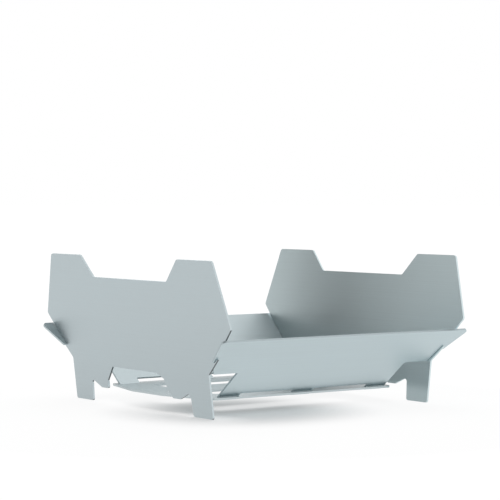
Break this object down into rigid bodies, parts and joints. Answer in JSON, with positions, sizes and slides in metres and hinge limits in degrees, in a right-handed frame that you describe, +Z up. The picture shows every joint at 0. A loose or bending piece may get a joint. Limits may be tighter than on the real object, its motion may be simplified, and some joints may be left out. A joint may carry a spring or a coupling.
{
  "type": "pocket stove",
  "caption": "Flat-pack fire box of interlocking steel plates: leaning end plates with horns and legs, sloping side plates hung in their slits, and a slotted floor.",
  "frame": {"origin": "centre of the stove's footprint, on the ground under its feet", "axes": "+X along the side plates toward the far end plate, +Y across the stove toward the back side plate, +Z up"},
  "size_m": [0.315, 0.3442, 0.154],
  "materials": {
    "end_plate_steel": "satin brushed stainless sheet",
    "side_plate_steel": "satin brushed stainless sheet",
    "floor_plate_steel": "satin brushed stainless sheet, a little duller"
  },
  "bodies": {
    "base": {"near_end_plate": "end_plate_steel", "far_end_plate": "end_plate_steel", "floor_plate": "floor_plate_steel"},
    "front_side": {"front_side_plate": "side_plate_steel"},
    "back_side": {"back_side_plate": "side_plate_steel"}
  },
  "joints": [
    {"name": "front_side_lift", "type": "slide", "parent": "base", "child": "front_side", "axis": [0, -0.7804, 0.6252], "range_m": [0, 0.1]},
    {"name": "back_side_lift", "type": "slide", "parent": "base", "child": "back_side", "axis": [0, 0.7804, 0.6252], "range_m": [0, 0.1]}
  ]
}
